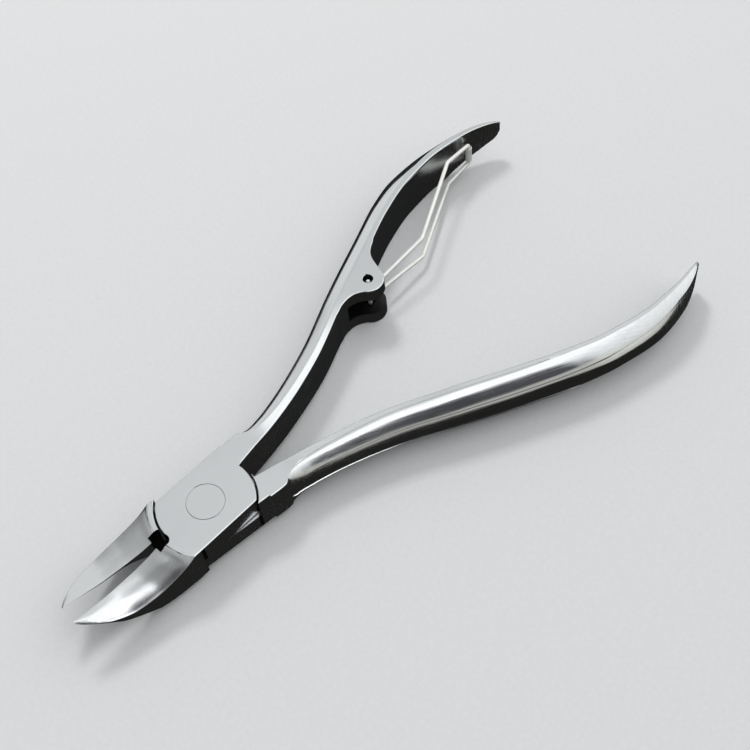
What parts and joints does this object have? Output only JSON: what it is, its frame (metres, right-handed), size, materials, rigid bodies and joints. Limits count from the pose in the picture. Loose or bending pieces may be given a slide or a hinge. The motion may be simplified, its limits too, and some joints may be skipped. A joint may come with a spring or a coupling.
{
  "type": "nail clipper",
  "caption": "Plier-type nail clipper: crossed forged levers with bow handles and curved cutting jaws on a rivet, with a hinged wire spring frame.",
  "frame": {"origin": "centre of the pivot rivet's underside, where the head's flat underside lies", "axes": "+Z along the pivot axis, up; +X from the pivot towards the handles; the jaws point along -X and the lever with the wire spring is at +Y"},
  "size_m": [0.1262, 0.0625, 0.01],
  "materials": {
    "forged_steel": "polished stainless steel, satin flats and brushed jaws",
    "forged_steel_plain_lever": "polished stainless steel, satin flats and brushed jaws",
    "rivet_steel": "satin, ground flush with the head",
    "spring_steel": "drawn wire, satin",
    "sleeve_steel": "rolled sheet, satin"
  },
  "bodies": {
    "spring_lever": {"spring_lever": "forged_steel", "pivot_rivet": "rivet_steel"},
    "plain_lever": {"plain_lever": "forged_steel_plain_lever"},
    "spring_frame": {"spring_wire": "spring_steel"},
    "spring_sleeve": {"spring_sleeve": "sleeve_steel"}
  },
  "joints": [
    {"name": "jaw_pivot", "type": "hinge", "parent": "spring_lever", "child": "plain_lever", "pos_m": [0, 0, 0.004], "axis": [0, 0, 1], "range_deg": [-15, 6.6]},
    {"name": "spring_frame_hinge", "type": "hinge", "parent": "spring_lever", "child": "spring_frame", "pos_m": [0.05055, 0.01443, 0.004], "axis": [0, 0, -1], "range_deg": [0, 64]},
    {"name": "sleeve_roll", "type": "hinge", "parent": "spring_frame", "child": "spring_sleeve", "pos_m": [0.08904, 0.02627, 0.004], "axis": [0, 0, 1], "continuous": true}
  ]
}
